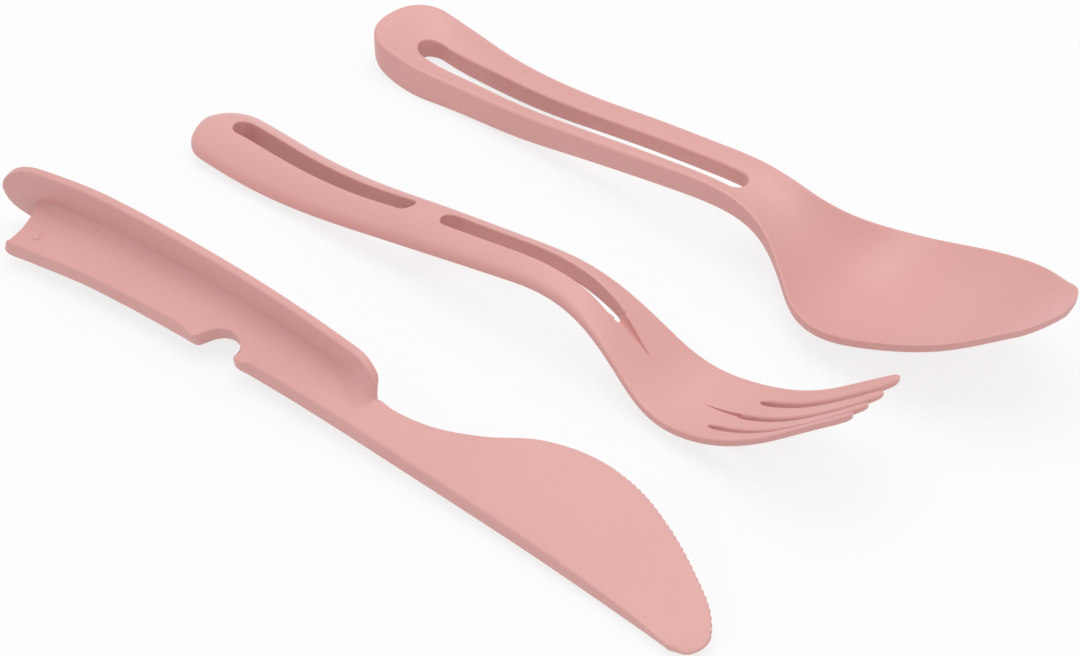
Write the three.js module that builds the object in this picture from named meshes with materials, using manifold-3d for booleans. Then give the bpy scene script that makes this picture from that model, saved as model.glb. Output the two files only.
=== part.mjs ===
// A travel set of moulded plastic cutlery: a spoon, a fork and a knife lying side by side on a table.
// Millimetres, +Z up. Each piece is drawn along +X from the end of its handle.
import * as THREE from 'three';
import Module from 'manifold-3d';
import { mergeVertices } from 'three/addons/utils/BufferGeometryUtils.js';

const wasm = await Module();
wasm.setup();
const { clamp, degToRad, lerp, mapLinear, smoothstep } = THREE.MathUtils;

// Spoon: an open loop of a handle that runs into a leaf-shaped bowl.
const spoon = {
  length: 210,
  endReach: 8.2,
  tipReach: 5,
  bowlMiddle: 164,
  edgeRound: curve([0, 1.3], [120, 1.3], [146, 0.8], [210, 0.7]),
  underShare: 0.6,
  // Height of the upper rim above the table.
  rim: curve([0, 11.8], [12, 10.4], [30, 9.4], [54, 10.4], [84, 14.6], [108, 18.1], [122, 19.2],
    [131.5, 17.7], [142, 13.0], [152, 9.2], [161, 9.1], [176, 13.6], [194, 20.8], [210, 29.0]),
  halfWidth: curve([0, 11.8], [14, 12.1], [22, 11.8], [30, 10.9], [40, 10.0], [52, 9.5], [70, 9.0], [90, 8.8],
    [110, 8.2], [120, 8.2], [128.5, 8.5], [136, 9.9], [144.5, 14.2], [152.5, 19.5], [160.5, 22.4],
    [170, 23.2], [181, 22.1], [196, 16.9], [204, 11.5], [210, 8.2]),
  // How far the middle lies below the rim.
  dish: curve([0, 0.4], [7, 1.8], [14, 3.5], [22, 3.8], [33, 3.1], [48, 2.8], [122, 2.8], [140, 3.8],
    [152, 5.6], [165, 7.0], [180, 7.0], [194, 5.0], [204, 2.2], [210, 0.8]),
  // Thickness along the middle, and height of the wall under the rim.
  core: curve([0, 6.4], [4, 7.0], [9, 6.2], [14, 5.0], [22, 4.7], [33, 5.0], [48, 4.8], [70, 4.1], [119, 3.9],
    [136, 3.3], [152, 2.4], [210, 2.0]),
  wall: curve([0, 5.8], [3, 8.0], [8, 9.5], [12, 9.8], [30, 9.3], [54, 8.7], [89, 7.3], [119, 6.3],
    [136, 4.5], [148, 3.0], [161, 2.5], [210, 2.2]),
  // Rounded over this reach at the back, and in a half circle at the front.
  slot: {
    from: 13.8, to: 119.5, halfWidths: [3.7, 3.0], backReach: 2.2, edgeRound: 0.5, runIn: 0, runOut: 0,
  },
  across: [0.2, 0.4, 0.6, 0.8],
  stations: [7, 4, 20, 4, 12, 16],
};

// Fork: a domed handle with two slots in line, and a dished head with four tines.
const fork = {
  length: 202,
  endReach: 9.5,
  tipReach: 3,
  edgeRound: curve([0, 1.1], [125, 1.1], [150, 0.8], [202, 0.7]),
  underShare: 0.6,
  // Heights above the table of the middle of the top and of the lower edges.
  crest: curve([0, 4.8], [4, 6.8], [9, 8.0], [15, 8.4], [34, 7.9], [49, 8.5], [61, 10.1], [72, 12.3],
    [85, 14.3], [101, 16.7], [113, 18.3], [121, 18.4], [130, 15.8], [138, 11.0], [146, 5.5], [154, 2.4],
    [160, 2.3], [167, 3.4], [174, 5.7], [181, 9.3], [188, 14.3], [195, 20.3], [202, 26.8]),
  sole: curve([0, 1.2], [14, 0.5], [28, 0.2], [44, 1.2], [68, 5.0], [92, 9.4], [108, 12.2], [118, 13.5],
    [126, 13.1], [134, 10.9], [142, 7.0], [150, 2.8], [157, 1.2], [165, 2.0], [174, 5.0], [184, 11.0],
    [193, 18.5], [202, 26.0]),
  wall: curve([0, 2.6], [100, 2.4], [130, 2.2], [155, 2.0], [202, 2.0]),
  // How far the middle of the underside is hollowed, or bulges where negative.
  hollow: curve([0, 0], [122, 0], [137, -0.4], [152, -0.9], [167, -1.2], [178, -1.7], [189, -1.8],
    [202, -0.9]),
  halfWidth: curve([0, 10.4], [14, 10.9], [28, 10.7], [52, 9.8], [84, 8.8], [108, 7.9], [122, 7.6],
    [132, 8.2], [144, 10.0], [156, 12.1], [164, 12.8], [172, 12.8], [184, 11.8], [202, 10.5]),
  slots: [
    { from: 14.5, to: 70.5, halfWidths: [2.9, 2.5], backReach: 2.9, edgeRound: 0.5, runIn: 0, runOut: 0 },
    { from: 85, to: 134, halfWidths: [2.5, 2.0], backReach: 2.5, edgeRound: 0.5, runIn: 0, runOut: 9 },
  ],
  // The gaps between the tines, the outer two at this share of the half width.
  gap: { from: 170, to: 404, halfWidths: [0.9, 0.9], backReach: 0.9, edgeRound: 0.7, runIn: 0, runOut: 0 },
  gapShare: 0.52,
  middleRunIn: 12,
  across: [0.5],
  stations: [6, 3, 8, 3, 2, 3, 8, 3, 9, 3, 8, 5],
};

// Knife: a flat web and blade, with a dished flange across the top of its handle.
const knife = {
  spine: [[1.4, -1.0], [12, -0.2], [25, 0.9], [45, 2.2], [65, 3.0], [82, 3.1], [123, 1.9], [160, 0.3],
    [194, -1.9]],
  edge: [[0.2, 13.6], [14, 16.0], [40, 16.8], [70, 16.2], [96, 14.6], [105, 13.0], [113, 12.1], [124, 13.2],
    [135, 17.1], [146, 22.5], [158, 24.8], [170, 23.7], [181, 19.6], [191, 14.0], [199, 8.1], [202, 3.0],
    [200.2, -1.0], [196, -2.5]],
  spineHalf: curve([0, 1.8], [60, 1.8], [100, 1.8], [200, 1.4]),
  edgeHalf: curve([0, 1.8], [60, 1.8], [90, 1.8], [104, 1.7], [140, 0.6], [200, 0.5]),
  // The rounding along a section's edges, and the share of its width that half its thickness stays within.
  edgeRound: 0.8,
  roundShare: 0.45,
  // The handle end is scooped out round this middle, and the notch in the spine follows these points.
  scoop: { at: [-7.0, 6.6], radius: 9.0 },
  notch: [[59.9, 0.6], [61.9, 3.4], [64.0, 6.4], [68.3, 8.4], [72.5, 6.7], [72.9, 3.8], [72.5, 0.6]],
  cutDepth: 12,
  cutSteps: 24,
  // Shares of the upper edge's length between which it is serrated.
  teeth: { from: 0.74, to: 0.95, pitch: 1.5, depth: 0.35 },
  stations: { handle: 24, tip: 12 },
};
const flange = {
  from: -10.6,
  to: 107.0,
  endReach: 13,
  noseReach: 6.5,
  level: curve([-11, 11.2], [0, 13.1], [13, 14.8], [30, 15.7], [52, 15.9], [77, 15.2], [98, 13.6],
    [109, 12.4]),
  halfWidth: curve([-11, 10.6], [20, 10.7], [50, 10.2], [80, 9.6], [109, 9.1]),
  thickness: 2.3,
  // How far its rims bend away from the web, and how far it leans where it stands clear of the web.
  dish: curve([-11, 1.1], [0, 1.2], [14, 2.2], [109, 2.2]),
  lean: curve([-11, 1.1], [0, 1.0], [14, 0], [109, 0]),
  edgeRound: 1.0,
  underShare: 1,
  // The fillet under the flange grows where the web begins, from a root sunk a little into the web.
  fillet: 1.2,
  filletFrom: 2,
  filletTo: 7,
  filletSteps: [1, 0.5, 0.15, 0],
  sunk: 0.1,
  widest: 0.3,
  stations: [12, 18],
};

// Where each handle ends on the table, the way the piece points and how it leans.
const places = {
  spoon: { at: [-107.4, 62.8], turn: -2.85, roll: 0, pitch: 0 },
  fork: { at: [-115.0, 2.0], turn: -0.3, roll: -5.4, pitch: 0 },
  knife: { at: [-112.2, -64.3], turn: 2.55, roll: 21, pitch: 0.8 },
};

const weldSize = 1e-3;
const slotLeast = 0.01;
const slopeStep = 0.05;
const grooveDepth = 1.6;
const edgeTurns = [0, 30, 60, 90].map(degToRad);
const plateTurns = [0, 45, 90].map(degToRad);
const pink = new THREE.MeshStandardMaterial({ color: 0xdfaaa6, roughness: 0.45, metalness: 0 });

// A smooth height, width or thickness along the piece, through a few points.
function curve(...points) {
  const spots = points.map(([x]) => x);
  const values = points.map(([, value]) => value);
  const spline = new THREE.CubicInterpolant(spots, values, 1);
  return (x) => spline.evaluate(clamp(x, spots[0], spots.at(-1)))[0];
}

// The share of its width that an outline keeps near a rounded end.
function roundEnd(distance, reach) {
  return distance >= reach ? 1 : Math.sqrt(Math.max(0, 1 - (1 - distance / reach) ** 2));
}

// How far a rounded edge has fallen, this far in from the edge.
function fall(radius, inset) {
  const rest = radius - clamp(inset, 0, radius);
  return radius - Math.sqrt(radius ** 2 - rest ** 2);
}

// Half the opening of a round-ended slot, and how far a point of its middle line lies outside it.
function slotAt(slot, x) {
  const near = clamp(x, slot.from, slot.to);
  const half = mapLinear(near, slot.from, slot.to, ...slot.halfWidths);
  const past = Math.abs(x - near);
  const reach = x < slot.from ? slot.backReach : half;
  return { half, open: half * roundEnd(reach - past, reach), outside: past - reach };
}

// The edge that a slot gives the strip beside it. Past the slot's end its rounding closes, and a groove
// may run out.
function slotEdge(slots, x, middle, side) {
  const [slot] = slots.toSorted((a, b) => slotAt(a, x).outside - slotAt(b, x).outside);
  const { half, open, outside } = slotAt(slot, x);
  const free = open > slotLeast;
  const run = x > slot.to ? slot.runOut : slot.runIn;
  const left = run > 0 && !free ? Math.max(0, 1 - outside / run) : 0;
  const round = fall(slot.edgeRound, outside);
  const reach = Math.max(round, half * left);
  return { y: middle + (free ? side * open : 0), round, groove: grooveDepth * left, reach, free };
}

// The outer edge of a piece, its rounding widened where the outline runs askew.
function outerEdge(halfWidth, x, round, side) {
  const slope = (halfWidth(x + slopeStep) - halfWidth(x - slopeStep)) / (2 * slopeStep);
  return { y: side * halfWidth(x), round, groove: 0, reach: round * Math.hypot(1, slope), free: true };
}

// Stations along a piece, gathered towards both ends of every stretch.
function stops(marks, counts) {
  const spots = [marks[0]];
  counts.forEach((count, stretch) => {
    const [from, to] = marks.slice(stretch, stretch + 2);
    for (let i = 1; i <= count; i++) spots.push(lerp(from, to, (1 - Math.cos(Math.PI * i / count)) / 2));
  });
  return spots;
}

// One strip's section: places across it, and how far each lies inside the full height above and below.
// Its two edges are rounded in quarter turns, and so is the end of the piece.
function strip(x, from, to, { across, underShare }, endFall) {
  const width = to.y - from.y;
  const points = [];
  const roundEdge = (edge, way, turn) => {
    const inset = edge.groove > 0 ? 2 * turn / Math.PI : 1 - Math.cos(turn);
    const y = edge.y + way * Math.min(edge.reach, width / 3) * inset;
    const left = 1 - Math.sin(turn);
    const drop = Math.max(endFall, left * edge.round, Math.cos(turn) ** 2 * edge.groove);
    points.push({ y, drop, lift: underShare * Math.max(endFall, left * edge.round) });
  };
  for (const turn of edgeTurns) roundEdge(from, 1, turn);
  for (const share of across) {
    points.push({ y: lerp(from.y, to.y, share), drop: endFall, lift: underShare * endFall });
  }
  for (const turn of edgeTurns.toReversed()) roundEdge(to, -1, turn);
  return { x, points, free: [from.free, to.free] };
}

// One closed geometry with shared corners, out of loose triangles.
function weld(triangles) {
  const corners = new Map();
  const positions = [];
  const cornerOf = (point) => {
    const key = point.map((value) => Math.round(value / weldSize)).join();
    if (!corners.has(key)) {
      corners.set(key, corners.size);
      positions.push(...point);
    }
    return corners.get(key);
  };
  const index = triangles
    .map((triangle) => triangle.map(cornerOf))
    .filter(([a, b, c]) => a !== b && b !== c && c !== a);
  const geometry = new THREE.BufferGeometry();
  geometry.setAttribute('position', new THREE.Float32BufferAttribute(positions, 3));
  geometry.setIndex(index.flat());
  return geometry;
}

// Skin between two rings, leaving out the sides that the test refuses.
function skin(ring, next, keeps = () => true) {
  const triangles = [];
  ring.forEach((a, i) => {
    const j = (i + 1) % ring.length;
    if (keeps(i)) triangles.push([a, next[i], next[j]], [a, next[j], ring[j]]);
  });
  return triangles;
}

// A lid over one ring, zipped between its first half and its second half.
function lid(ring) {
  const triangles = [];
  for (let i = 0; i + 1 < ring.length / 2; i++) {
    const [a, b] = [ring[i], ring[i + 1]];
    const [c, d] = [ring.at(-2 - i), ring.at(-1 - i)];
    triangles.push([a, b, c], [a, c, d]);
  }
  return triangles;
}
function lids(rings) {
  return [...lid(rings[0]), ...lid(rings.at(-1)).map(([a, b, c]) => [a, c, b])];
}

// A body lofted along X in strips that lie side by side. A strip's edge is free where a slot or the outside
// runs along it, and elsewhere it grows together with the next strip.
function stripLoft(stations, top, bottom) {
  const triangles = [];
  stations[0].forEach((_, lane) => {
    const strips = stations.map((station) => station[lane]);
    const rings = strips.map(({ x, points }) => [
      ...points.map(({ y, drop }) => [x, y, top(x, y) - drop]),
      ...points.map(({ y, lift }) => [x, y, bottom(x, y) + lift]).reverse(),
    ]);
    const half = strips[0].points.length;
    for (let i = 0; i + 1 < rings.length; i++) {
      const [left, right] = [0, 1].map((side) => strips[i].free[side] || strips[i + 1].free[side]);
      const keeps = (side) => (side !== half - 1 || right) && (side !== 2 * half - 1 || left);
      triangles.push(...skin(rings[i], rings[i + 1], keeps));
    }
    triangles.push(...lids(rings));
  });
  return weld(triangles);
}

// Share of the way from the middle of a section to its edge, squared: the dish and dome of every section.
function rise(halfWidth, x, y) {
  const half = halfWidth(x);
  return half > 0 ? (y / half) ** 2 : 1;
}

function spoonGeometry() {
  const { length, slot, edgeRound, rim, dish, core, wall } = spoon;
  const half = (x) => spoon.halfWidth(x) * roundEnd(x, spoon.endReach) * roundEnd(length - x, spoon.tipReach);
  const top = (x, y) => lerp(rim(x) - dish(x), rim(x), rise(half, x, y));
  const bottom = (x, y) => lerp(rim(x) - dish(x) - core(x), rim(x) - wall(x), rise(half, x, y));
  const slotEnds = [slot.from - slot.backReach, slot.to + slot.halfWidths[1]];
  const marks = [0, slotEnds[0], slot.from, slot.to, slotEnds[1], spoon.bowlMiddle, length];
  const stations = stops(marks, spoon.stations).map((x) => {
    const endFall = Math.max(fall(edgeRound(0), x), fall(edgeRound(length), length - x));
    const [near, far] = [-1, 1].map((side) => outerEdge(half, x, edgeRound(x), side));
    return [
      strip(x, near, slotEdge([slot], x, 0, -1), spoon, endFall),
      strip(x, slotEdge([slot], x, 0, 1), far, spoon, endFall),
    ];
  });
  return stripLoft(stations, top, bottom);
}

// The four strips of the fork at one station, each tine drawn in towards its own middle near its tip.
function forkStrips(x, half) {
  const { length, slots, gap, edgeRound } = fork;
  const inLine = [...slots, { ...gap, runIn: fork.middleRunIn }];
  const side = half(x) * fork.gapShare;
  const edges = [
    [outerEdge(half, x, edgeRound(x), -1), slotEdge([gap], x, -side, -1)],
    [slotEdge([gap], x, -side, 1), slotEdge(inLine, x, 0, -1)],
    [slotEdge(inLine, x, 0, 1), slotEdge([gap], x, side, -1)],
    [slotEdge([gap], x, side, 1), outerEdge(half, x, edgeRound(x), 1)],
  ];
  const endFall = Math.max(fall(edgeRound(0), x), fall(edgeRound(length), length - x));
  const kept = roundEnd(length - x, fork.tipReach);
  return edges.map(([from, to]) => {
    const centre = (from.y + to.y) / 2;
    const narrowed = [from, to].map((edge) => ({ ...edge, y: lerp(centre, edge.y, kept) }));
    return strip(x, ...narrowed, fork, endFall);
  });
}

function forkGeometry() {
  const { length, slots, gap, crest, sole, wall, hollow } = fork;
  const half = (x) => fork.halfWidth(x) * roundEnd(x, fork.endReach);
  const top = (x, y) => lerp(crest(x), sole(x) + wall(x), rise(half, x, y));
  const bottom = (x, y) => sole(x) + hollow(x) * (1 - rise(half, x, y));
  const slotMarks = slots.flatMap(({ from, to, halfWidths, backReach }) => {
    return [from - backReach, from, to, to + halfWidths[1]];
  });
  const marks = [0, ...slotMarks, gap.from - gap.backReach, gap.from, length - fork.tipReach, length];
  const stations = stops(marks, fork.stations).map((x) => forkStrips(x, half));
  return stripLoft(stations, top, bottom);
}

// A solid for joining and cutting, and back.
function toSolid(geometry) {
  const vertProperties = new Float32Array(geometry.attributes.position.array);
  const triVerts = new Uint32Array(geometry.index.array);
  return new wasm.Manifold(new wasm.Mesh({ numProp: 3, vertProperties, triVerts }));
}
function toGeometry(solid) {
  const { vertProperties, triVerts } = solid.getMesh();
  const geometry = new THREE.BufferGeometry();
  geometry.setAttribute('position', new THREE.BufferAttribute(vertProperties, 3));
  geometry.setIndex(new THREE.BufferAttribute(triVerts, 1));
  return geometry;
}

// A cutter right through the web, with this outline in the plane of the web.
function cutter(shape) {
  const depth = knife.cutDepth;
  const settings = { depth, bevelEnabled: false, curveSegments: knife.cutSteps };
  const geometry = new THREE.ExtrudeGeometry(shape, settings).translate(0, 0, -depth / 2);
  geometry.deleteAttribute('normal');
  geometry.deleteAttribute('uv');
  return toSolid(mergeVertices(geometry));
}

// The hollow in the handle end of the web.
function scoopCutter() {
  const { at, radius } = knife.scoop;
  return cutter(new THREE.Shape().absarc(...at, radius, 0, 2 * Math.PI));
}

// The notch that snaps over the fork's bridge, with a lead-in on one side and a hook on the other.
function notchCutter() {
  const outline = new THREE.SplineCurve(knife.notch.map(([x, w]) => new THREE.Vector2(x, w)));
  return cutter(new THREE.Shape(outline.getPoints(knife.cutSteps)));
}

function flangeGeometry() {
  const { from, to, level, thickness, dish, lean, edgeRound } = flange;
  const closing = (x) => roundEnd(x - from, flange.endReach) * roundEnd(to - x, flange.noseReach);
  const half = (x) => flange.halfWidth(x) * closing(x);
  const fillet = (x) => flange.fillet * smoothstep(x, flange.filletFrom, flange.filletTo);
  const root = (x) => knife.spineHalf(x) - flange.sunk;
  const arch = (x, y) => {
    const share = y / flange.halfWidth(x);
    return level(x) + dish(x) * share ** 2 - lean(x) * share;
  };
  const top = (x, y) => arch(x, y) + thickness;
  const bottom = (x, y) => arch(x, y) - fall(fillet(x), Math.abs(y) - root(x));
  const stations = stops([from, flange.filletFrom, to], flange.stations).map((x) => {
    const endFall = Math.max(fall(edgeRound, x - from), fall(edgeRound, to - x));
    const width = Math.max(2 * half(x), edgeRound);
    const shares = flange.filletSteps.map((step) => {
      return Math.min(flange.widest, (root(x) + step * fillet(x)) / width);
    });
    const across = [
      ...shares.map((share) => 0.5 - share),
      ...shares.toReversed().map((share) => 0.5 + share),
    ];
    const [left, right] = [-1, 1].map((side) => outerEdge(half, x, edgeRound, side));
    return [strip(x, left, right, { across, underShare: flange.underShare }, endFall)];
  });
  return stripLoft(stations, top, bottom).rotateX(-Math.PI / 2);
}

// Where the plate's sections lie along its edges, and how far the upper edge is cut back there by the teeth.
function plateSpots(edgeLength) {
  const { from, to, pitch, depth } = knife.teeth;
  const halves = 2 * Math.round((to - from) * edgeLength / pitch);
  const { handle, tip } = knife.stations;
  const spots = [];
  for (let i = 0; i <= handle; i++) spots.push({ at: from * i / handle, tooth: 0 });
  for (let i = 1; i < halves; i++) spots.push({ at: lerp(from, to, i / halves), tooth: i % 2 ? depth : 0 });
  for (let i = 0; i <= tip; i++) spots.push({ at: lerp(to, 1, i / tip), tooth: 0 });
  return spots;
}

// The web and blade: sections between the spine and the upper edge, thinning towards the cutting edge.
function plateGeometry() {
  const [spine, edge] = [knife.spine, knife.edge].map((points) => {
    const corners = points.map(([x, w]) => new THREE.Vector3(x, w, 0));
    return new THREE.CatmullRomCurve3(corners, false, 'centripetal');
  });
  const rings = plateSpots(edge.getLength()).map(({ at, tooth }) => {
    const root = spine.getPointAt(at);
    const rim = edge.getPointAt(at);
    const way = rim.clone().sub(root).normalize();
    const width = rim.distanceTo(root) - tooth;
    const [thick, thin] = [knife.spineHalf(root.x), knife.edgeHalf(rim.x)]
      .map((half) => Math.min(half, width * knife.roundShare));
    const corner = (half, turn) => {
      const round = Math.min(half, knife.edgeRound);
      return [round * (1 - Math.cos(turn)), half - round * (1 - Math.sin(turn))];
    };
    const side = [
      ...plateTurns.map((turn) => corner(thick, turn)),
      ...plateTurns.toReversed().map((turn) => corner(thin, turn)).map(([along, n]) => [width - along, n]),
    ];
    const place = ([along, n]) => [root.x + way.x * along, root.y + way.y * along, n];
    return [...side.map(place), ...side.map(([along, n]) => place([along, -n])).reverse()];
  });
  const triangles = lids(rings);
  rings.slice(1).forEach((ring, i) => triangles.push(...skin(rings[i], ring)));
  return weld(triangles);
}

function knifeGeometry() {
  const web = toSolid(plateGeometry()).subtract(scoopCutter());
  const body = web.add(toSolid(flangeGeometry())).subtract(notchCutter());
  return toGeometry(body);
}

// A named piece on the table, turned and set down with its lowest point on z = 0.
function setDown(name, geometry) {
  const piece = new THREE.Mesh(geometry, pink);
  const { at, turn, roll, pitch } = places[name];
  piece.name = name;
  piece.rotation.set(degToRad(roll), degToRad(pitch), degToRad(turn), 'ZYX');
  piece.position.set(...at, 0);
  piece.updateMatrixWorld();
  piece.position.z = -new THREE.Box3().setFromObject(piece, true).min.z;
  return piece;
}

const set = new THREE.Group();
set.add(setDown('spoon', spoonGeometry()));
set.add(setDown('fork', forkGeometry()));
set.add(setDown('knife', knifeGeometry()));

const middle = new THREE.Box3().setFromObject(set, true).getCenter(new THREE.Vector3());
set.position.set(-middle.x, -middle.y, 0);

export default set;
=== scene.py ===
"""Looks for a travel set of moulded plastic cutlery: spoon, fork and knife, lying on a pale table."""
import math

import bmesh
import bpy
import numpy as np
from mathutils import Euler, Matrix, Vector


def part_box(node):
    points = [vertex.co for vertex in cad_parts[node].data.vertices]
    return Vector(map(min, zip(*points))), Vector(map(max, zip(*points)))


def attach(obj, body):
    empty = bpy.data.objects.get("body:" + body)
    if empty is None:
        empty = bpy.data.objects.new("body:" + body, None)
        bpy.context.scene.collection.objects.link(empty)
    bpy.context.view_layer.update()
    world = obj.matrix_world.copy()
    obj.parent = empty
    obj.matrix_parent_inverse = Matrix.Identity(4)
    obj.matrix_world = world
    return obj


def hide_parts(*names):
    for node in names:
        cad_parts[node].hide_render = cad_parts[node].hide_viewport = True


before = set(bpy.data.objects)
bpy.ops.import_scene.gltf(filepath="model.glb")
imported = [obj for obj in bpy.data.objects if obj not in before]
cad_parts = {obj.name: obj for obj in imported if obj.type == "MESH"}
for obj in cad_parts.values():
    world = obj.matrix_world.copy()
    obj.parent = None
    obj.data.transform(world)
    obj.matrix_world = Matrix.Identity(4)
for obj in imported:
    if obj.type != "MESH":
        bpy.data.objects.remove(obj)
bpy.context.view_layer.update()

MM = 0.001
QUARTER_STEPS = 6
OUTLINE_STEPS = 600
WELD = 2e-6
SMOOTH_ANGLE = math.radians(42)


# Curves and sections

def curve(*points):
    """A natural cubic spline through a few points, held at its end values."""
    x, v = np.array(points, float).T
    n = len(x)
    step = np.diff(x)
    slope = np.diff(v) / step
    rows = np.eye(n)
    right = np.zeros(n)
    for i in range(1, n - 1):
        rows[i, i - 1:i + 2] = step[i - 1], 2 * (step[i - 1] + step[i]), step[i]
        right[i] = 6 * (slope[i] - slope[i - 1])
    bend = np.linalg.solve(rows, right)

    def at(where):
        where = np.clip(where, x[0], x[-1])
        i = np.clip(np.searchsorted(x, where) - 1, 0, n - 2)
        a, b = x[i + 1] - where, where - x[i]
        h = step[i]
        return (bend[i] * a ** 3 + bend[i + 1] * b ** 3) / (6 * h) \
            + (v[i] / h - bend[i] * h / 6) * a + (v[i + 1] / h - bend[i + 1] * h / 6) * b
    return at


def lerp(a, b, t):
    return a + (b - a) * t


def smoothstep(x, low, high):
    t = np.clip((x - low) / (high - low), 0, 1)
    return t * t * (3 - 2 * t)


def round_end(distance, reach, power=2.0):
    """The share of its width that an outline keeps near a rounded end. A higher power makes it squarer."""
    if distance >= reach:
        return 1.0
    return max(0.0, 1 - (1 - distance / reach) ** power) ** (1 / power)


def fall(radius, inset):
    """How far a rounded edge has fallen, this far in from the edge."""
    rest = radius - min(max(inset, 0), radius)
    return radius - math.sqrt(max(0.0, radius ** 2 - rest ** 2))


def inset_of(half, length):
    """How far inside an outline of this half width a point lies, by the nearest stretch of the outline."""
    spots = np.array([(x, half(x)) for x in stops([0, length], [OUTLINE_STEPS])])
    way = np.diff(spots, axis=0)
    square = (way ** 2).sum(1)

    def at(x, y):
        gap = np.array([x, abs(y)]) - spots[:-1]
        share = np.clip((gap * way).sum(1) / square, 0, 1)
        return math.sqrt(((gap - share[:, None] * way) ** 2).sum(1).min())
    return at


def stops(marks, counts):
    """Stations along a piece, gathered towards both ends of every stretch."""
    spots = [marks[0]]
    for low, high, count in zip(marks, marks[1:], counts):
        spots += [lerp(low, high, (1 - math.cos(math.pi * i / count)) / 2) for i in range(1, count + 1)]
    return spots


def quarter_turn():
    return [math.pi / 2 * i / QUARTER_STEPS for i in range(QUARTER_STEPS + 1)]


# Strips that lie side by side along X, with slots between them

SLOT_LEAST = 0.004
SLOPE_STEP = 0.05
# The most of a strip's width that one rounded edge takes.
EDGE_MOST = 1 / 3


def slot_at(slot, x):
    """A slot's width at this station, and how far the station lies past the slot's straight part."""
    near = min(max(x, slot["from"]), slot["to"])
    share = (near - slot["from"]) / (slot["to"] - slot["from"])
    half = lerp(*slot["half_widths"], share)
    past = abs(x - near)
    reach = slot.get("back_reach", half) if x < slot["from"] else half
    return {"half": half, "past": past, "reach": reach, "opening": half * round_end(reach - past, reach)}


def slot_edge(slots, x, middle, side):
    """The edge that the nearest slot gives the strip beside it. A groove may run out past the slot's end."""
    slot, at = min(((slot, slot_at(slot, x)) for slot in slots), key=lambda pair: pair[1]["past"])
    free = at["opening"] > SLOT_LEAST
    opening = at["opening"] if free else 0.0
    run = slot.get("run_out", 0) if x > slot["to"] else slot.get("run_in", 0)
    left = max(0.0, 1 - at["past"] / (run + at["reach"])) if run and at["past"] > 0 else 0.0
    trough = at["half"] * left
    rounding = fall(slot["edge_round"], at["past"] - at["reach"])
    return {"y": middle + side * opening, "round": rounding, "reach": max(rounding, trough - opening),
            "opening": opening, "trough": trough, "groove": slot.get("groove", 0) * left, "free": free}


def outer_edge(half_width, x, rounding, side):
    slope = (half_width(x + SLOPE_STEP) - half_width(x - SLOPE_STEP)) / (2 * SLOPE_STEP)
    return {"y": side * half_width(x), "round": rounding, "reach": rounding * math.hypot(1, slope),
            "groove": 0, "free": True}


def trough_depth(edge, inset):
    """How deep a groove still is, this far in from the edge of its slot."""
    if edge["groove"] == 0:
        return 0.0
    share = (edge["opening"] + inset) / edge["trough"]
    return edge["groove"] * math.sqrt(max(0.0, 1 - share ** 2))


def strip(x, start, end, across, under_share, worn):
    """One strip's section: (y, drop from the top, lift from the bottom) across it, with rounded edges."""
    width = end["y"] - start["y"]
    most = EDGE_MOST * width
    points = []

    def add(y, left, groove):
        left = max(left, worn(x, y))
        points.append((y, max(left, groove), under_share * left))

    def round_edge(edge, way, turn):
        share = math.sin(turn) if edge["groove"] > 0 else 1 - math.cos(turn)
        inset = min(edge["reach"], most) * share
        add(edge["y"] + way * inset, fall(edge["round"], inset), trough_depth(edge, inset))

    for turn in quarter_turn():
        round_edge(start, 1, turn)
    inner = [min(start["reach"], most), width - min(end["reach"], most)]
    for i in range(1, across + 1):
        add(start["y"] + lerp(*inner, i / (across + 1)), 0, 0)
    for turn in reversed(quarter_turn()):
        round_edge(end, -1, turn)
    return {"x": x, "points": points, "free": (start["free"], end["free"])}


def skin(faces, first, second, count, keeps):
    """Adds the quads between two rings of points, apart from those that aren't kept."""
    for i in range(count):
        j = (i + 1) % count
        if keeps(i):
            faces.append((first + i, second + i, second + j, first + j))


def lid(faces, first, count, flipped):
    """Closes a ring of points, whose two halves mirror each other, by quads across it."""
    for i in range(count // 2 - 1):
        quad = (first + i, first + i + 1, first + count - 2 - i, first + count - 1 - i)
        faces.append(quad[::-1] if flipped else quad)


def strip_loft(stations, top, bottom):
    """Points and faces of strips that grow together wherever no slot parts them."""
    points, faces = [], []
    for lane in range(len(stations[0])):
        strips = [station[lane] for station in stations]
        half = len(strips[0]["points"])
        starts = []
        for s in strips:
            x = s["x"]
            starts.append(len(points))
            points += [(x, y, top(x, y) - drop) for y, drop, _ in s["points"]]
            points += [(x, y, bottom(x, y) + lift) for y, _, lift in reversed(s["points"])]
        for a, b, first, second in zip(strips, strips[1:], starts, starts[1:]):
            left, right = (a["free"][side] or b["free"][side] for side in (0, 1))
            skin(faces, first, second, 2 * half,
                 lambda i: (i != half - 1 or right) and (i != 2 * half - 1 or left))
        lid(faces, starts[0], 2 * half, False)
        lid(faces, starts[-1], 2 * half, True)
    return points, faces


def rise(half, y):
    """Share of the way from the middle of a section to its edge, squared."""
    return (y / half) ** 2 if half > 0 else 1.0


# Spoon

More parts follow.
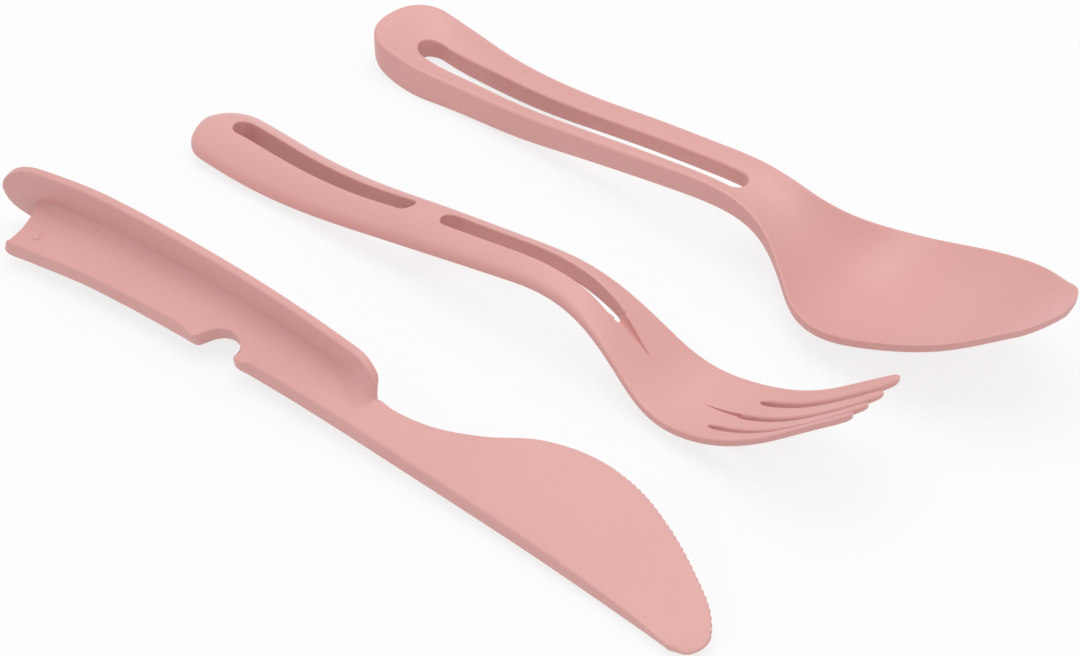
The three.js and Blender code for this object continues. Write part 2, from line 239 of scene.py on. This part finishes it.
SPOON = {
    "length": 210, "end_reach": 10.6, "end_power": 2.3, "tip_reach": 5, "bowl_middle": 164,
    "under_share": 0.6,
    "edge_round": curve((0, 1.3), (120, 1.3), (146, 0.8), (210, 0.7)),
    "rim": curve((0, 12.1), (5, 11.4), (12, 10.4), (30, 9.4), (54, 10.4), (84, 14.6), (108, 18.1),
                 (122, 19.2), (131.5, 17.7), (142, 13.0), (152, 9.2), (161, 9.1), (176, 13.6),
                 (194, 20.8), (210, 29.0)),
    "half_width": curve((0, 11.8), (14, 12.1), (22, 11.8), (30, 10.9), (40, 10.0), (52, 9.5), (70, 9.0),
                        (90, 8.8), (110, 8.2), (120, 8.2), (128.5, 8.5), (136, 9.9), (144.5, 14.2),
                        (152.5, 19.5), (160.5, 22.4), (170, 23.2), (181, 22.1), (196, 16.9), (204, 11.5),
                        (210, 8.2)),
    "dish": curve((0, 0), (3, 0.25), (7, 1.5), (14, 3.5), (22, 3.8), (33, 3.1), (48, 2.8), (122, 2.8),
                  (140, 3.8), (152, 5.6), (165, 7.0), (180, 7.0), (194, 5.0), (204, 2.2), (210, 0.8)),
    "core": curve((0, 6.4), (4, 7.0), (9, 6.2), (14, 5.0), (22, 4.7), (33, 5.0), (48, 4.8), (70, 4.1),
                  (119, 3.9), (136, 3.3), (152, 2.4), (210, 2.0)),
    "wall": curve((0, 4.2), (3, 6.9), (8, 8.9), (12, 9.6), (30, 9.3), (54, 8.7), (89, 7.3), (119, 6.3),
                  (136, 4.5), (148, 3.0), (161, 2.5), (210, 2.2)),
    "slot": {"from": 16.2, "to": 119.5, "half_widths": (3.7, 3.0), "back_reach": 4.6, "edge_round": 0.5},
    "across": 14, "stations": (26, 12, 90, 14, 60, 80),
}


def spoon_mesh():
    s = SPOON
    slot = s["slot"]

    def half(x):
        end = round_end(x, s["end_reach"], s["end_power"])
        return s["half_width"](x) * end * round_end(s["length"] - x, s["tip_reach"])

    def top(x, y):
        return lerp(s["rim"](x) - s["dish"](x), s["rim"](x), rise(half(x), y))

    def bottom(x, y):
        return lerp(s["rim"](x) - s["dish"](x) - s["core"](x), s["rim"](x) - s["wall"](x), rise(half(x), y))

    inset = inset_of(half, s["length"])

    def worn(x, y):
        return fall(s["edge_round"](x), inset(x, y))

    marks = [0, slot["from"] - slot["back_reach"], slot["from"], slot["to"],
             slot["to"] + slot["half_widths"][1], s["bowl_middle"], s["length"]]
    stations = []
    for x in stops(marks, s["stations"]):
        rounding = s["edge_round"](x)
        edges = [outer_edge(half, x, rounding, -1), slot_edge([slot], x, 0, -1),
                 slot_edge([slot], x, 0, 1), outer_edge(half, x, rounding, 1)]
        stations.append([strip(x, *pair, s["across"], s["under_share"], worn)
                         for pair in (edges[:2], edges[2:])])
    return strip_loft(stations, top, bottom)


# Fork

FORK = {
    "length": 202, "end_reach": 9.5, "tip_reach": 3, "under_share": 0.6,
    "edge_round": curve((0, 1.1), (125, 1.1), (150, 0.8), (202, 0.7)),
    "crest": curve((0, 4.8), (4, 6.8), (9, 8.0), (15, 8.4), (34, 7.9), (49, 8.5), (61, 10.1), (72, 12.3),
                   (85, 14.3), (101, 16.7), (113, 18.3), (121, 18.4), (130, 16.5), (138, 12.0), (146, 6.5),
                   (154, 2.8), (160, 2.3), (167, 3.4), (174, 5.7), (181, 9.3), (188, 14.3), (195, 20.3),
                   (202, 26.8)),
    "sole": curve((0, 1.2), (14, 0.5), (28, 0.2), (44, 1.2), (68, 5.0), (92, 9.4), (108, 12.2), (118, 13.5),
                  (126, 13.1), (134, 10.9), (142, 7.0), (150, 2.8), (157, 1.2), (165, 2.0), (174, 5.0),
                  (184, 11.0), (193, 18.5), (202, 26.0)),
    "wall": curve((0, 2.6), (100, 2.4), (130, 2.2), (155, 2.0), (202, 2.0)),
    "hollow": curve((0, 0), (122, 0), (137, -0.4), (152, -0.9), (167, -1.2), (178, -1.7), (189, -1.8),
                    (202, -0.9)),
    "half_width": curve((0, 10.4), (14, 10.9), (28, 10.7), (52, 9.8), (84, 8.8), (108, 7.9), (122, 7.6),
                        (132, 8.2), (144, 10.0), (156, 12.1), (164, 12.8), (172, 12.8), (184, 11.8),
                        (202, 10.5)),
    "slots": [{"from": 14.5, "to": 70.5, "half_widths": (2.9, 2.5), "edge_round": 0.5},
              {"from": 85, "to": 134, "half_widths": (2.5, 2.0), "edge_round": 0.5, "run_out": 10,
               "groove": 3.2}],
    "gap": {"to": 404, "half_widths": (0.85, 0.85), "edge_round": 0.7, "back_reach": 2.5},
    "gap_share": 0.52, "near_root": 170.1, "middle_root": 173, "far_root": 174,
    "run_in": 9.5, "run_in_groove": 2.0,
    "across": 5, "stations": (26, 8, 44, 8, 10, 8, 40, 8, 40, 8, 3, 6, 6, 6, 40, 14),
}


def fork_strips(x, half, worn):
    f = FORK
    near, far = ([{**f["gap"], "from": f[root]}] for root in ("near_root", "far_root"))
    in_line = f["slots"] + [{**f["gap"], "from": f["middle_root"], "run_in": f["run_in"],
                             "groove": f["run_in_groove"]}]
    side = half(x) * f["gap_share"]
    rounding = f["edge_round"](x)
    pairs = [(outer_edge(half, x, rounding, -1), slot_edge(near, x, -side, -1)),
             (slot_edge(near, x, -side, 1), slot_edge(in_line, x, 0, -1)),
             (slot_edge(in_line, x, 0, 1), slot_edge(far, x, side, -1)),
             (slot_edge(far, x, side, 1), outer_edge(half, x, rounding, 1))]
    kept = round_end(f["length"] - x, f["tip_reach"])
    lanes = []
    for pair in pairs:
        centre = (pair[0]["y"] + pair[1]["y"]) / 2
        narrowed = [{**edge, "y": lerp(centre, edge["y"], kept)} for edge in pair]
        lanes.append(strip(x, *narrowed, f["across"], f["under_share"], worn))
    return lanes


def fork_mesh():
    f = FORK

    def half(x):
        return f["half_width"](x) * round_end(x, f["end_reach"])

    def top(x, y):
        return lerp(f["crest"](x), f["sole"](x) + f["wall"](x), rise(half(x), y))

    def bottom(x, y):
        return f["sole"](x) + f["hollow"](x) * (1 - rise(half(x), y))

    inset = inset_of(half, f["length"])

    def worn(x, y):
        left = min(inset(x, y), f["length"] - x)
        return fall(f["edge_round"](x), left)

    marks = [0]
    for slot in f["slots"]:
        marks += [slot["from"] - slot["half_widths"][0], slot["from"], slot["to"],
                  slot["to"] + slot["half_widths"][1]]
    for root in ("near_root", "middle_root", "far_root"):
        marks += [f[root] - f["gap"]["back_reach"], f[root]]
    marks += [f["length"] - f["tip_reach"], f["length"]]
    stations = [fork_strips(x, half, worn) for x in stops(sorted(marks), f["stations"])]
    return strip_loft(stations, top, bottom)


# Knife: a T-section swept along the handle, which turns into the flat section of the blade

FLANGE = {
    "from": -10.6, "to": 109.1, "end_reach": 13, "nose_reach": 7.5, "nose_power": 2.3,
    "level": curve((-11, 11.2), (0, 13.0), (13, 14.35), (30, 15.2), (52, 15.4), (77, 14.7), (98, 13.1),
                   (109, 12.0)),
    "half_width": curve((-11, 10.6), (20, 10.7), (50, 10.2), (80, 9.6), (109, 9.1)),
    "web_grows": (-4, 24), "dish": (1.2, 3.1), "bend": (2.0, 1.15), "lean": (1.0, 0.0),
    "under_from": 80, "under_to": 101, "under_dish": 0.2,
    "thickness": 1.95, "edge_round": 0.9, "rim_round": 0.4,
    "fillet": 1.2, "fillet_from": 0.4, "fillet_to": 7, "fillet_shares": (0.5, 0.95),
    "nose_from": 95, "nose_fillet": 7, "nose_slope": 1.3, "core_from": 97,
}
RIM_SQUARENESS = 0.45
WEB_START = 0.3
WEB_HALF = 1.8
EDGE_ROUND = 0.8
# The spine's edge, from its middle out to each face, as (distance along the web, distance from its middle).
SPINE_EDGE = {
    1: [(0.46, 0), (0.72, 0.45), (0.98, 0.9), (1.22, 1.3), (1.4, 1.55), (1.62, 1.71), (1.9, 1.79),
        (2.2, 1.8)],
    -1: [(0.46, 0), (0.3, 0.3), (0.14, 0.6), (0.05, 0.9), (0.05, 1.15), (0.16, 1.42), (0.42, 1.68),
         (0.8, 1.8)],
}
OVERHANG_LEAST = 0.05
SCOOP = {"depth": 1.2, "fades": 24}
# The lower outline from the heel along the spine, through the notch and on to the blade.
HEEL = [(0.2, 0.5), (0.4, -0.2), (1.3, -0.75), (3.2, -0.9), (7, -0.35), (12, 0.3), (25, 1.8), (38, 2.5),
        (47, 2.75), (56, 2.9)]
NOTCH = [(59.6, 2.95), (60.9, 3.0), (61.8, 3.45), (62.8, 4.7), (64.1, 6.4), (66, 7.8), (68.3, 8.4),
         (70.6, 8.0), (72.3, 6.8), (73.0, 5.3), (72.8, 4.1), (73.1, 3.4), (74.2, 3.1)]
# The spine's bevel narrows to this share over the notch, between these stations.
NOTCH_EASES = (56, 60, 74.5, 79)
NOTCH_BEVEL = 0.35
SPINE = [(77, 3.1), (82, 3.1), (95, 2.9), (109.1, 2.45)]
BLADE_SPINE = [(109.6, 2.42), (123, 1.9), (160, 0.3), (194, -1.9)]
BLADE_EDGE = [(109.6, 12.45), (114, 12.0), (124, 13.2), (135, 17.1), (146, 22.5), (158, 24.8), (170, 23.7),
              (181, 19.6), (191, 14.0), (199, 8.1), (202, 3.0), (200.2, -1.0), (196, -2.5)]
SPINE_HALF = curve((100, 1.8), (150, 1.65), (200, 1.4))
EDGE_HALF = curve((90, 1.8), (104, 1.7), (140, 0.6), (200, 0.5))
ROUND_SHARE = 0.45
CURVE_STEPS = 60
LOBE_STEPS = 40
RING_STEP = 0.3
BLADE_STEP = 0.2
NORMAL_SPREAD = 5
TEETH = {"from": 0.51, "to": 0.91, "fades": 0.01, "pitch": 1.5, "depth": 0.25}
NOSE_SHARES = (0.3, 0.55, 0.75, 0.88, 0.96, 0.99)
WEB_STEPS, UNDER_STEPS, RIM_STEPS, TOP_STEPS = 14, 10, 10, 12
# The mark that the mould's gate leaves on the web: (radius, height) from its rim to its middle.
GATE_AT = (7.7, 5.65)
GATE_PROFILE = [(1.35, -0.1), (1.3, 0.06), (1.1, 0.24), (0.8, 0.24), (0.5, 0.06), (0.0, 0.04)]
GATE_SIDES = 32


def path(points, spacing):
    """Evenly spaced points along a centripetal Catmull-Rom curve through a few points."""
    p = np.array(points, float)
    p = np.vstack([2 * p[0] - p[1], p, 2 * p[-1] - p[-2]])
    out = []
    for i in range(1, len(p) - 2):
        knots = [0.0]
        for a, b in zip(p[i - 1:i + 3], p[i:i + 3]):
            knots.append(knots[-1] + np.linalg.norm(b - a) ** 0.5)
        t0, t1, t2, t3 = knots
        for t in np.linspace(t1, t2, CURVE_STEPS, endpoint=False):
            a1 = ((t1 - t) * p[i - 1] + (t - t0) * p[i]) / (t1 - t0)
            a2 = ((t2 - t) * p[i] + (t - t1) * p[i + 1]) / (t2 - t1)
            a3 = ((t3 - t) * p[i + 1] + (t - t2) * p[i + 2]) / (t3 - t2)
            b1 = ((t2 - t) * a1 + (t - t0) * a2) / (t2 - t0)
            b2 = ((t3 - t) * a2 + (t - t1) * a3) / (t3 - t1)
            out.append(((t2 - t) * b1 + (t - t1) * b2) / (t2 - t1))
    out.append(p[-2])
    out = np.array(out)
    run = run_along(out)
    at = np.linspace(0, run[-1], max(2, round(run[-1] / spacing) + 1))
    return np.stack([np.interp(at, run, out[:, k]) for k in (0, 1)], 1)


def run_along(line):
    return np.concatenate([[0], np.cumsum(np.linalg.norm(np.diff(line, axis=0), axis=1))])


def inward(line, spread):
    """Normals on the left of a line of points, smoothed over a spread of points."""
    way = np.gradient(line, axis=0)
    normal = np.stack([-way[:, 1], way[:, 0]], 1)
    normal /= np.linalg.norm(normal, axis=1)[:, None]
    reach = np.arange(-3 * spread, 3 * spread + 1)
    weight = np.exp(-0.5 * (reach / spread) ** 2)
    padded = np.pad(normal, ((3 * spread, 3 * spread), (0, 0)), mode="edge")
    smooth = np.stack([np.convolve(padded[:, k], weight / weight.sum(), mode="valid") for k in (0, 1)], 1)
    return smooth / np.linalg.norm(smooth, axis=1)[:, None]


def flange_half(x, side):
    """Half width of the flange, whose hidden lower side ends sooner than its upper side."""
    f = FLANGE
    to = f["to"] if side > 0 else f["under_to"]
    nose = round_end(to - x, f["nose_reach"], f["nose_power"])
    return f["half_width"](x) * round_end(x - f["from"], f["end_reach"]) * nose


def end_lift(x):
    """How far the rounding of the lobe's end lifts the flange's lower face."""
    f = FLANGE
    return f["thickness"] / 2 * (1 - round_end(x - f["from"], f["edge_round"], 2 / RIM_SQUARENESS))


def arch(x, n):
    """Height of the flange's lower face above the web's own line."""
    f = FLANGE
    share = n / f["half_width"](x)
    grown = smoothstep(x, *f["web_grows"])
    dish, bend, lean = (lerp(*f[name], grown) for name in ("dish", "bend", "lean"))
    if n < 0:
        dish *= lerp(1, f["under_dish"], smoothstep(x, f["under_from"], f["to"]))
    return f["level"](x) + dish * abs(share) ** bend + lean * share


def corner(half, turn):
    """How far along the web and out from its middle a rounded edge lies."""
    rounding = min(half, EDGE_ROUND)
    return rounding * (1 - math.cos(turn)), half - rounding * (1 - math.sin(turn))


def spine_edge(side, half, bevel=1.0):
    """The spine's edge, scaled to a web of this half thickness and to a share of its full bevel."""
    share = half / WEB_HALF
    return [(along * share * bevel, n * share) for along, n in SPINE_EDGE[side]]


def handle_side(side, x, spine, normal, web_half, sag, bevel=1.0):
    """Half a ring of the handle's section as (x, w, n), from the spine's middle to the middle of the top."""
    f = FLANGE
    low = end_lift(x)
    high = min(f["thickness"] - low, f["thickness"] * smoothstep(f["to"] - x, 0, f["nose_slope"]))
    core = high * (1 - smoothstep(x, f["core_from"], f["to"]))
    high = high if side > 0 else core
    half = flange_half(x, side)
    if web_half > 0:
        half = max(half, web_half + OVERHANG_LEAST)
    fillet = f["fillet"] * smoothstep(x, f["fillet_from"], f["fillet_to"]) if web_half > 0 else 0.0
    nose = smoothstep(x, f["nose_from"], f["to"])
    room = lerp(*f["fillet_shares"], nose) * (half - web_half)
    fillet = min(lerp(fillet, f["nose_fillet"], nose), room)
    edge_low = min(f["rim_round"], half - web_half - fillet)
    edge_high = min(f["edge_round"], half / 2)

    def at(n, height):
        return (x, arch(x, side * n) + height, side * n)

    ring = [(*(spine + normal * along), side * n) for along, n in spine_edge(side, web_half, bevel)]
    foot = np.array(ring[-1][:2])
    head = np.array([x, arch(x, side * web_half) - fillet])
    for i in range(1, WEB_STEPS):
        t = i / WEB_STEPS
        place = lerp(foot, head, t)
        ring.append((place[0] + sag * 4 * t * (1 - t), place[1], side * web_half))
    for turn in quarter_turn():
        ring.append(at(web_half + fillet * (1 - math.cos(turn)), -fillet * (1 - math.sin(turn)) + low))
    for i in range(1, UNDER_STEPS):
        ring.append(at(lerp(web_half + fillet, half - edge_low, i / UNDER_STEPS), low))
    middle = (low + high) / 2
    for i in range(RIM_STEPS + 1):
        turn = math.pi * (i / RIM_STEPS - 0.5)
        edge = edge_low if turn < 0 else edge_high
        out = max(0.0, math.cos(turn)) ** RIM_SQUARENESS
        up = math.copysign(abs(math.sin(turn)) ** RIM_SQUARENESS, turn)
        ring.append(at(half - edge * (1 - out), middle + (high - low) / 2 * up))
    for i in range(1, TOP_STEPS + 1):
        out = 1 - i / TOP_STEPS
        ring.append(at((half - edge_high) * out, lerp(core, high, out)))
    return ring


def blade_side(side, spine, rim, thick, thin, cut):
    """Half a ring of the blade's section, with as many points as the handle's. Teeth cut its very edge."""
    way = rim - spine
    width = np.linalg.norm(way)
    way = way / width
    thick, thin = (min(half, ROUND_SHARE * width) for half in (thick, thin))

    def at(along, n):
        return (*(spine + way * along), side * n)

    ring = [at(*point) for point in spine_edge(side, thick)]
    foot, head = spine_edge(side, thick)[-1][0], width - min(thin, EDGE_ROUND)
    for i in range(1, WEB_STEPS):
        t = i / WEB_STEPS
        ring.append(at(lerp(foot, head, t), lerp(thick, thin, t)))
    folded = (QUARTER_STEPS + 1) + (UNDER_STEPS - 1) + (RIM_STEPS + 1)
    ring += [at(head - cut, thin)] * folded
    for i in range(1, TOP_STEPS):
        along, n = corner(thin, math.pi / 2 * (1 - i / (TOP_STEPS - 1)))
        ring.append(at(width - along - cut, n))
    ring.append(at(width - cut, 0))
    return ring


def both_sides(make, *values):
    return [make(side, *values) for side in (-1, 1)]


def web_stations():
    """Along the web: its lower outline, inward normals, distance run and where the flange stands over it."""
    line = np.vstack([path(HEEL + NOTCH[:1], RING_STEP)[:-1], path(NOTCH + SPINE[:1], RING_STEP)[:-1],
                      path(SPINE, RING_STEP)])
    run = run_along(line)
    inside = np.flatnonzero((line[:, 0] > HEEL[-1][0]) & (line[:, 0] < SPINE[0][0]))
    first, last = inside[[0, -1]]
    over = line[:, 0].copy()
    over[first:last + 1] = np.interp(run[first:last + 1], run[[first, last]], line[[first, last], 0])
    over = WEB_START + (over - over[0]) * (FLANGE["to"] - WEB_START) / (over[-1] - over[0])
    return line, inward(line, NORMAL_SPREAD), run, over


def handle_rings():
    """Rings of the handle's lobe, then of its web, and the number of rings in the lobe."""
    up = np.array([0.0, 1.0])
    rings = []
    for x in stops([FLANGE["from"], WEB_START], [LOBE_STEPS]):
        rings.append(both_sides(handle_side, x, np.array([x, arch(x, 0) + end_lift(x)]), up, 0.0, 0.0))
    lobe = len(rings)
    line, normals, run, over = web_stations()
    start = line[0] + normals[0] * spine_edge(1, WEB_HALF - EDGE_ROUND)[0][0]
    rings.append(both_sides(handle_side, over[0], start, normals[0], 0.0, SCOOP["depth"]))
    for place, normal, gone, x in zip(line, normals, run, over):
        half = WEB_HALF - fall(EDGE_ROUND, gone)
        sag = SCOOP["depth"] * (1 - smoothstep(gone, 0, SCOOP["fades"]))
        cut = smoothstep(place[0], *NOTCH_EASES[:2]) * (1 - smoothstep(place[0], *NOTCH_EASES[2:]))
        rings.append(both_sides(handle_side, x, place, normal, half, sag, lerp(1, NOTCH_BEVEL, cut)))
    last = rings.pop()
    for share in NOSE_SHARES:
        place = lerp(line[-2], line[-1], share)
        x = lerp(over[-2], over[-1], share)
        rings.append(both_sides(handle_side, x, place, normals[-1], WEB_HALF, 0.0))
    return rings + [last], lobe


def blade_rings():
    """Rings of the blade, from its spine to its edge, with the teeth along its curved front."""
    rim = path(BLADE_EDGE, BLADE_STEP)
    spine = path(BLADE_SPINE, BLADE_STEP)
    shares = np.linspace(0, 1, len(rim))
    spine = np.stack([np.interp(shares, np.linspace(0, 1, len(spine)), spine[:, k]) for k in (0, 1)], 1)
    toothed = smoothstep(shares, TEETH["from"], TEETH["from"] + TEETH["fades"]) \
        * (1 - smoothstep(shares, TEETH["to"] - TEETH["fades"], TEETH["to"]))
    wave = np.abs(np.sin(math.pi * run_along(rim) / TEETH["pitch"]))
    cuts = TEETH["depth"] * toothed * (1 - wave)
    return [both_sides(blade_side, low, high, SPINE_HALF(low[0]), EDGE_HALF(high[0]), cut)
            for low, high, cut in zip(spine, rim, cuts)]


def gate_mark(points, faces):
    """Adds a small round mark that stands on the web."""
    first = len(points)
    for radius, height in GATE_PROFILE:
        for i in range(GATE_SIDES):
            turn = 2 * math.pi * i / GATE_SIDES
            points.append((GATE_AT[0] + radius * math.cos(turn), GATE_AT[1] + radius * math.sin(turn),
                           WEB_HALF + height))
    for i in range(len(GATE_PROFILE) - 1):
        start = first + i * GATE_SIDES
        skin(faces, start, start + GATE_SIDES, GATE_SIDES, lambda side: True)
    faces.append(tuple(range(first, first + GATE_SIDES)))


def knife_mesh():
    rings, lobe = handle_rings()
    rings += blade_rings()
    points, faces, starts = [], [], []
    for near, far in rings:
        starts.append(len(points))
        points += near + far[::-1]
    count = 2 * len(rings[0][0])
    for i, (first, second) in enumerate(zip(starts, starts[1:])):
        if i != lobe - 1:
            skin(faces, first, second, count, lambda side: True)
    lid(faces, starts[0], count, False)
    lid(faces, starts[-1], count, True)
    gate_mark(points, faces)
    return points, faces


# Placing

PLACES = {
    "spoon": {"roll": 0, "pitch": 0, "turn": -2.85},
    "fork": {"roll": -5.4, "pitch": 0, "turn": -0.3},
    "knife": {"roll": 21, "pitch": 0.8, "turn": 2.55},
}


def make_piece(name, mesh_parts, material):
    """A named piece, turned as its CAD node lies and set down in that node's box."""
    points, faces = mesh_parts
    pose = PLACES[name]
    turn = Euler([math.radians(pose[key]) for key in ("roll", "pitch", "turn")], "XYZ").to_matrix()
    co = np.array(points) * MM @ np.array(turn).T
    low, high = (np.array(spot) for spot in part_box(name))
    shift = (low + high - co.min(0) - co.max(0)) / 2
    shift[2] = low[2] - co[:, 2].min()
    co += shift
    mesh = bpy.data.meshes.new(name + "_moulding")
    mesh.from_pydata(co.tolist(), [], faces)
    shape = bmesh.new()
    shape.from_mesh(mesh)
    bmesh.ops.remove_doubles(shape, verts=shape.verts, dist=WELD)
    bmesh.ops.dissolve_degenerate(shape, edges=shape.edges, dist=WELD)
    bmesh.ops.recalc_face_normals(shape, faces=shape.faces)
    shape.to_mesh(mesh)
    shape.free()
    mesh.shade_smooth()
    mesh.set_sharp_from_angle(angle=SMOOTH_ANGLE)
    mesh.materials.append(material)
    piece = bpy.data.objects.new(name + "_moulding", mesh)
    bpy.context.scene.collection.objects.link(piece)
    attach(piece, "root")
    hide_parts(name)


# Material

PLASTIC = {
    "ior": 1.48,
    "tone": {"scale": 28, "detail": 3,
             "ramp": [(0.3, (0.725, 0.372, 0.35, 1)), (0.7, (0.755, 0.398, 0.375, 1))]},
    "gloss": {"scale": 420, "detail": 4, "roughness": (0.38, 0.52)},
    "grain": {"scale": 1800, "detail": 2, "strength": 0.06, "distance": 0.0002},
}


def pink_plastic():
    """Satin plastic: faintly clouded in colour, uneven in gloss and finely grained."""
    material = bpy.data.materials.new("pink_plastic_satin")
    material.use_nodes = True
    nodes, links = material.node_tree.nodes, material.node_tree.links
    shader = nodes["Principled BSDF"]
    shader.inputs["IOR"].default_value = PLASTIC["ior"]
    place = nodes.new("ShaderNodeTexCoord")

    def noise(kind):
        node = nodes.new("ShaderNodeTexNoise")
        node.inputs["Scale"].default_value = PLASTIC[kind]["scale"]
        node.inputs["Detail"].default_value = PLASTIC[kind]["detail"]
        links.new(place.outputs["Object"], node.inputs["Vector"])
        return node.outputs["Fac"]

    tone = nodes.new("ShaderNodeValToRGB")
    for element, (position, color) in zip(tone.color_ramp.elements, PLASTIC["tone"]["ramp"]):
        element.position = position
        element.color = color
    links.new(noise("tone"), tone.inputs["Fac"])
    links.new(tone.outputs["Color"], shader.inputs["Base Color"])
    gloss = nodes.new("ShaderNodeMapRange")
    gloss.inputs["To Min"].default_value, gloss.inputs["To Max"].default_value = PLASTIC["gloss"]["roughness"]
    links.new(noise("gloss"), gloss.inputs["Value"])
    links.new(gloss.outputs["Result"], shader.inputs["Roughness"])
    bump = nodes.new("ShaderNodeBump")
    bump.inputs["Strength"].default_value = PLASTIC["grain"]["strength"]
    bump.inputs["Distance"].default_value = PLASTIC["grain"]["distance"]
    links.new(noise("grain"), bump.inputs["Height"])
    links.new(bump.outputs["Normal"], shader.inputs["Normal"])
    return material


# Stage

FLOOR = {"size": 8, "color": (0.9, 0.9, 0.9, 1), "roughness": 0.9, "white_share": 0.8}
ROOM_STRENGTH = 0.665
LAMP = {"size": 0.9, "energy": 4.2, "at": (-0.04, 0.09, 0.94)}
CAMERA = {"target": (0.010454, -0.006055, 0), "from_target": (0.25128, -0.28907, 0.32139),
          "sensor_width": 36, "lens": 72.63}


def pale_floor():
    """A floor that the camera and reflections see as white, with the object's shadow left on it."""
    bpy.ops.mesh.primitive_plane_add(size=FLOOR["size"], location=(0, 0, 0))
    floor = bpy.context.object
    floor.name = "floor"
    material = bpy.data.materials.new("pale_floor")
    material.use_nodes = True
    nodes, links = material.node_tree.nodes, material.node_tree.links
    out = nodes["Material Output"]
    shade = nodes["Principled BSDF"]
    shade.inputs["Base Color"].default_value = FLOOR["color"]
    shade.inputs["Roughness"].default_value = FLOOR["roughness"]
    shade.inputs["Specular IOR Level"].default_value = 0.0
    white = nodes.new("ShaderNodeEmission")
    seen = nodes.new("ShaderNodeLightPath")
    glossy = nodes.new("ShaderNodeMath")
    glossy.operation = "ADD"
    links.new(seen.outputs["Is Camera Ray"], glossy.inputs[0])
    links.new(seen.outputs["Is Glossy Ray"], glossy.inputs[1])
    clear = nodes.new("ShaderNodeMath")
    clear.operation = "ADD"
    clear.use_clamp = True
    links.new(glossy.outputs[0], clear.inputs[0])
    links.new(seen.outputs["Is Transmission Ray"], clear.inputs[1])
    share = nodes.new("ShaderNodeMath")
    share.operation = "MULTIPLY"
    share.inputs[1].default_value = FLOOR["white_share"]
    mix = nodes.new("ShaderNodeMixShader")
    links.new(clear.outputs[0], share.inputs[0])
    links.new(share.outputs[0], mix.inputs["Fac"])
    links.new(shade.outputs[0], mix.inputs[1])
    links.new(white.outputs[0], mix.inputs[2])
    links.new(mix.outputs[0], out.inputs["Surface"])
    floor.data.materials.append(material)


def soft_light():
    world = bpy.data.worlds.new("soft_room")
    world.use_nodes = True
    room = world.node_tree.nodes["Background"]
    room.inputs["Color"].default_value = (1, 1, 1, 1)
    room.inputs["Strength"].default_value = ROOM_STRENGTH
    bpy.context.scene.world = world
    light = bpy.data.lights.new("overhead", "AREA")
    light.shape = "DISK"
    light.size = LAMP["size"]
    light.energy = LAMP["energy"]
    lamp = bpy.data.objects.new("overhead", light)
    lamp.location = LAMP["at"]
    lamp.rotation_euler = (Vector((0, 0, 0)) - lamp.location).to_track_quat("-Z", "Y").to_euler()
    bpy.context.scene.collection.objects.link(lamp)


def photo_camera():
    target = Vector(CAMERA["target"])
    data = bpy.data.cameras.new("photo_camera")
    data.sensor_fit = "HORIZONTAL"
    data.sensor_width = CAMERA["sensor_width"]
    data.lens = CAMERA["lens"]
    camera = bpy.data.objects.new("photo_camera", data)
    camera.location = target + Vector(CAMERA["from_target"])
    camera.rotation_euler = (target - camera.location).to_track_quat("-Z", "Y").to_euler()
    bpy.context.scene.collection.objects.link(camera)
    bpy.context.scene.camera = camera


photo_camera()
soft_light()
pale_floor()
plastic = pink_plastic()
make_piece("spoon", spoon_mesh(), plastic)
make_piece("fork", fork_mesh(), plastic)
make_piece("knife", knife_mesh(), plastic)
bpy.context.scene.view_settings.view_transform = "Standard"
